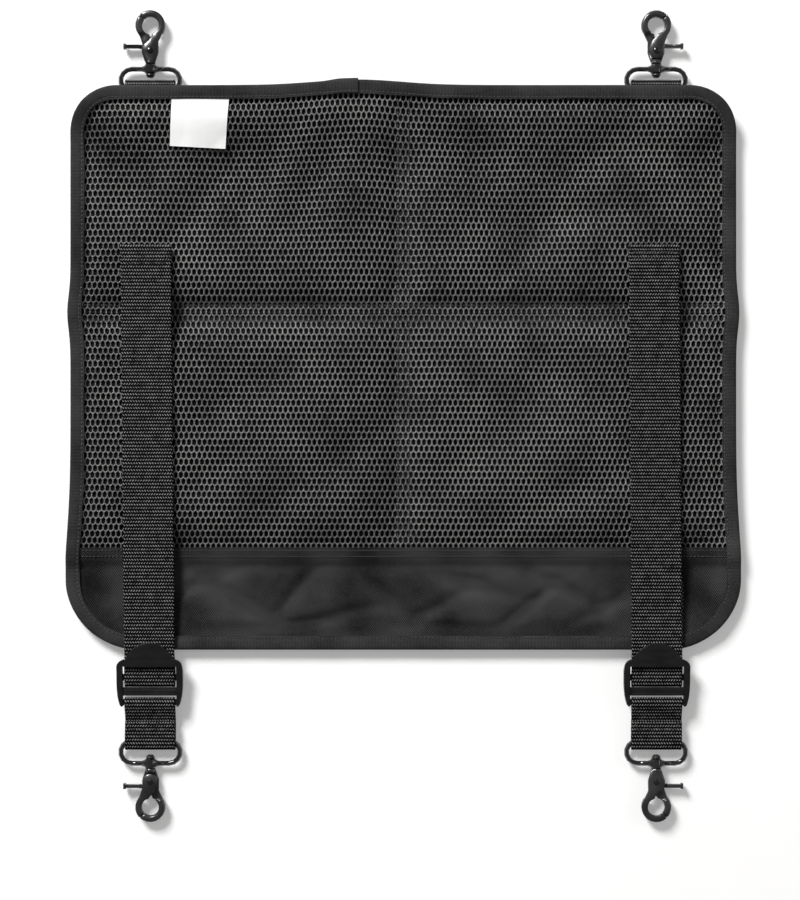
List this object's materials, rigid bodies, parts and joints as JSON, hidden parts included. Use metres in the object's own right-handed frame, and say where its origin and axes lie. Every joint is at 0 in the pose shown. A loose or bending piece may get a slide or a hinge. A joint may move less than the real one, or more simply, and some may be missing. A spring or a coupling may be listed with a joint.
{
  "type": "car seat protector",
  "caption": "Black padded mat with a mesh face, bound edges and webbing straps that end in swivel snap hooks at its corners.",
  "frame": {"origin": "on the surface it lies on, below the middle of its outline", "axes": "+X across to the right, +Y up the mat towards the edge with the label, +Z out of the mesh face"},
  "size_m": [0.5116, 0.6146, 0.0165],
  "materials": {
    "base_cloth": "matt black woven backing cloth",
    "spacer_mesh": "black open spacer mesh with honeycomb holes",
    "hem_twill": "matt black twill",
    "foam": "dark quilted filling",
    "binding_tape": "black woven edge tape, slight sheen",
    "webbing": "black herringbone webbing",
    "label_cloth": "plain white woven label",
    "buckle_plastic": "black moulded plastic, satin",
    "eye_steel": "gloss black coated wire and stud",
    "hook_metal": "gloss black plated casting",
    "rivet_steel": "gloss black domed rivet",
    "spring_steel": "bare spring wire"
  },
  "bodies": {
    "mat": {"base_sheet": "base_cloth", "mesh_face": "spacer_mesh", "hem_panel": "hem_twill", "foam_pad_upper_left": "foam", "foam_pad_upper_right": "foam", "foam_pad_lower_left": "foam", "foam_pad_lower_right": "foam", "edge_binding": "binding_tape", "label": "label_cloth", "strap_left": "webbing", "strap_right": "webbing", "lower_tab_left": "webbing", "lower_tab_right": "webbing", "upper_tab_left": "webbing", "upper_tab_right": "webbing", "ladder_lock_buckle_left": "buckle_plastic", "ladder_lock_buckle_right": "buckle_plastic"},
    "eye_upper_left": {"swivel_eye_upper_left": "eye_steel"},
    "hook_upper_left": {"hook_body_upper_left": "hook_metal", "pivot_rivet_upper_left": "rivet_steel", "gate_spring_upper_left": "spring_steel"},
    "gate_upper_left": {"gate_upper_left": "hook_metal"},
    "eye_upper_right": {"swivel_eye_upper_right": "eye_steel"},
    "hook_upper_right": {"hook_body_upper_right": "hook_metal", "pivot_rivet_upper_right": "rivet_steel", "gate_spring_upper_right": "spring_steel"},
    "gate_upper_right": {"gate_upper_right": "hook_metal"},
    "eye_lower_left": {"swivel_eye_lower_left": "eye_steel"},
    "hook_lower_left": {"hook_body_lower_left": "hook_metal", "pivot_rivet_lower_left": "rivet_steel", "gate_spring_lower_left": "spring_steel"},
    "gate_lower_left": {"gate_lower_left": "hook_metal"},
    "eye_lower_right": {"swivel_eye_lower_right": "eye_steel"},
    "hook_lower_right": {"hook_body_lower_right": "hook_metal", "pivot_rivet_lower_right": "rivet_steel", "gate_spring_lower_right": "spring_steel"},
    "gate_lower_right": {"gate_lower_right": "hook_metal"}
  },
  "joints": [
    {"name": "ring_swing_upper_left", "type": "hinge", "parent": "mat", "child": "eye_upper_left", "pos_m": [-0.1916, 0.246, 0.0048], "axis": [1, 0, 0], "range_deg": [-120, 20], "deforming": ["upper_tab_left"]},
    {"name": "hook_swivel_upper_left", "type": "hinge", "parent": "eye_upper_left", "child": "hook_upper_left", "pos_m": [-0.1916, 0.263, 0.0048], "axis": [0, 1, 0], "continuous": true},
    {"name": "gate_turn_upper_left", "type": "hinge", "parent": "hook_upper_left", "child": "gate_upper_left", "pos_m": [-0.1916, 0.2767, 0.0048], "axis": [0, 0, 1], "range_deg": [0, 25], "stiffness_Nm_per_rad": 0.02, "springref_deg": -30, "deforming": ["gate_spring_upper_left"]},
    {"name": "ring_swing_upper_right", "type": "hinge", "parent": "mat", "child": "eye_upper_right", "pos_m": [0.1916, 0.246, 0.0048], "axis": [1, 0, 0], "range_deg": [-120, 20], "deforming": ["upper_tab_right"]},
    {"name": "hook_swivel_upper_right", "type": "hinge", "parent": "eye_upper_right", "child": "hook_upper_right", "pos_m": [0.1916, 0.263, 0.0048], "axis": [0, 1, 0], "continuous": true},
    {"name": "gate_turn_upper_right", "type": "hinge", "parent": "hook_upper_right", "child": "gate_upper_right", "pos_m": [0.1916, 0.2767, 0.0048], "axis": [0, 0, -1], "range_deg": [0, 25], "stiffness_Nm_per_rad": 0.02, "springref_deg": -30, "deforming": ["gate_spring_upper_right"]},
    {"name": "ring_swing_lower_left", "type": "hinge", "parent": "mat", "child": "eye_lower_left", "pos_m": [-0.1916, -0.246, 0.0048], "axis": [-1, 0, 0], "range_deg": [-110, 110], "deforming": ["lower_tab_left"]},
    {"name": "hook_swivel_lower_left", "type": "hinge", "parent": "eye_lower_left", "child": "hook_lower_left", "pos_m": [-0.1916, -0.263, 0.0048], "axis": [0, -1, 0], "continuous": true},
    {"name": "gate_turn_lower_left", "type": "hinge", "parent": "hook_lower_left", "child": "gate_lower_left", "pos_m": [-0.1916, -0.2767, 0.0048], "axis": [0, 0, -1], "range_deg": [0, 25], "stiffness_Nm_per_rad": 0.02, "springref_deg": -30, "deforming": ["gate_spring_lower_left"]},
    {"name": "ring_swing_lower_right", "type": "hinge", "parent": "mat", "child": "eye_lower_right", "pos_m": [0.1916, -0.246, 0.0048], "axis": [-1, 0, 0], "range_deg": [-110, 110], "deforming": ["lower_tab_right"]},
    {"name": "hook_swivel_lower_right", "type": "hinge", "parent": "eye_lower_right", "child": "hook_lower_right", "pos_m": [0.1916, -0.263, 0.0048], "axis": [0, -1, 0], "continuous": true},
    {"name": "gate_turn_lower_right", "type": "hinge", "parent": "hook_lower_right", "child": "gate_lower_right", "pos_m": [0.1916, -0.2767, 0.0048], "axis": [0, 0, 1], "range_deg": [0, 25], "stiffness_Nm_per_rad": 0.02, "springref_deg": -30, "deforming": ["gate_spring_lower_right"]}
  ]
}
